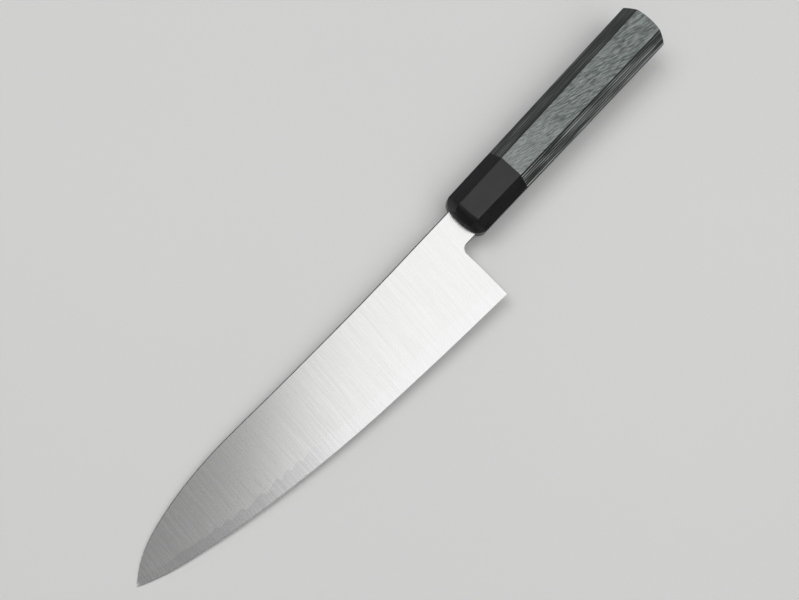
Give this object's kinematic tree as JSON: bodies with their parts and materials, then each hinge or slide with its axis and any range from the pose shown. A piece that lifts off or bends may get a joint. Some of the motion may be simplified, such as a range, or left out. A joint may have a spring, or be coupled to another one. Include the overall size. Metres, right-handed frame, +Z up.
{
  "type": "chef knife",
  "caption": "Double-bevel chef knife with a layered satin blade, a domed black ferrule and an octagonal laminated-wood handle.",
  "frame": {"origin": "middle of the handle's length, on the flat side of the handle that the knife lies on", "axes": "the knife lies on its side: +X from tip to butt, +Y towards the spine, -Y towards the cutting edge, +Z up out of the blade's left face"},
  "size_m": [0.3603, 0.0527, 0.019],
  "materials": {
    "core_steel": "fine satin, a little darker than the cladding",
    "cladding_steel": "satin with fine hairlines from spine to edge",
    "ferrule": "black, fine satin polish",
    "dark_veneer": "charcoal dyed laminated wood, satin",
    "light_veneer": "grey-green dyed laminated wood, satin",
    "dowel_wood": "plain beech",
    "epoxy": "hardened epoxy"
  },
  "bodies": {
    "root": {"core_steel": "core_steel", "left_cladding": "cladding_steel", "right_cladding": "cladding_steel", "ferrule": "ferrule", "dowel": "dowel_wood", "tang_bedding": "epoxy", "veneer_01": "light_veneer", "veneer_02": "dark_veneer", "veneer_03": "light_veneer", "veneer_04": "dark_veneer", "veneer_05": "light_veneer", "veneer_06": "dark_veneer", "veneer_07": "light_veneer", "veneer_08": "dark_veneer", "veneer_09": "light_veneer", "veneer_10": "dark_veneer", "veneer_11": "light_veneer", "veneer_12": "dark_veneer", "veneer_13": "light_veneer", "veneer_14": "dark_veneer", "veneer_15": "light_veneer", "veneer_16": "dark_veneer", "veneer_17": "light_veneer", "veneer_18": "dark_veneer", "veneer_19": "light_veneer", "veneer_20": "dark_veneer", "veneer_21": "light_veneer", "veneer_22": "dark_veneer", "veneer_23": "light_veneer"}
  },
  "joints": []
}
